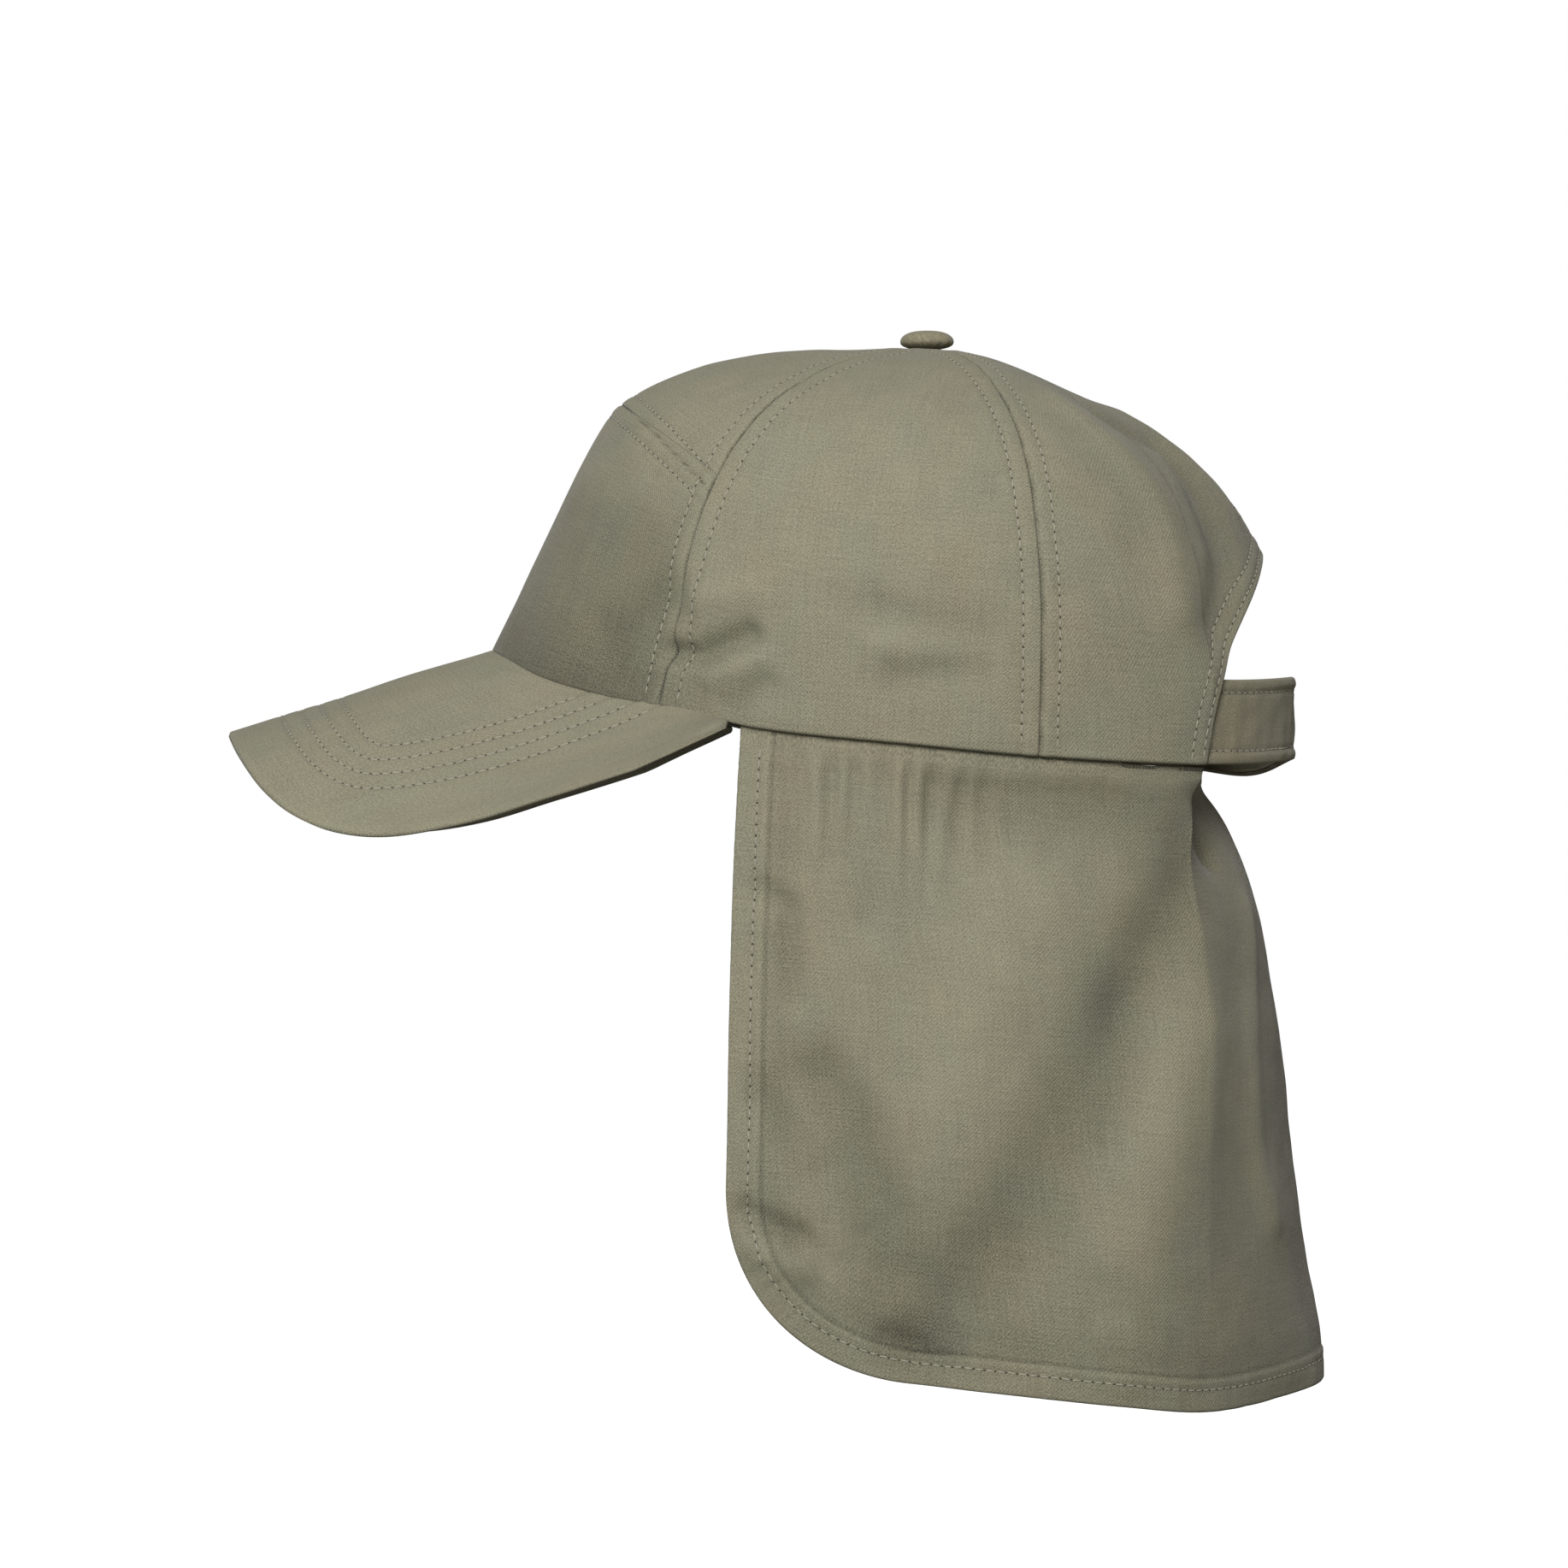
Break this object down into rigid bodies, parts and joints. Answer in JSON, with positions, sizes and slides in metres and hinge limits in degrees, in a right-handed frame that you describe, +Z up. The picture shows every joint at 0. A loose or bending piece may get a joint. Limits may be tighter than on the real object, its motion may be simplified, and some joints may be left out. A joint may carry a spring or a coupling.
{
  "type": "peaked cap with neck flap",
  "caption": "Soft panelled cloth cap with a curved stitched peak, a covered top button, a strap across the back opening and a long neck flap hanging from the rim.",
  "frame": {"origin": "the seat of the head: on the middle plane, near the middle of the rim and just above its sides", "axes": "+Z up as the cap is worn, with the crown above and the flap below; -Y the way the peak points; +X the wearer's left"},
  "size_m": [0.163, 0.2812, 0.2704],
  "materials": {
    "crown_cloth": "matt khaki cotton, fine plain weave, tonal topstitching",
    "button_cloth": "matt khaki cotton pulled over a button",
    "peak_cloth": "matt khaki cotton over a stiff board, four rows of stitching",
    "strap_cloth": "matt khaki cotton, folded and stitched along both edges",
    "flap_cloth": "matt khaki cotton, fine plain weave, turned and stitched hem"
  },
  "bodies": {
    "root": {"front_panel": "crown_cloth", "front_top_panel": "crown_cloth", "side_panel_left": "crown_cloth", "side_panel_right": "crown_cloth", "back_panel_left": "crown_cloth", "back_panel_right": "crown_cloth", "button": "button_cloth", "peak": "peak_cloth", "back_strap": "strap_cloth", "neck_flap": "flap_cloth"}
  },
  "joints": []
}
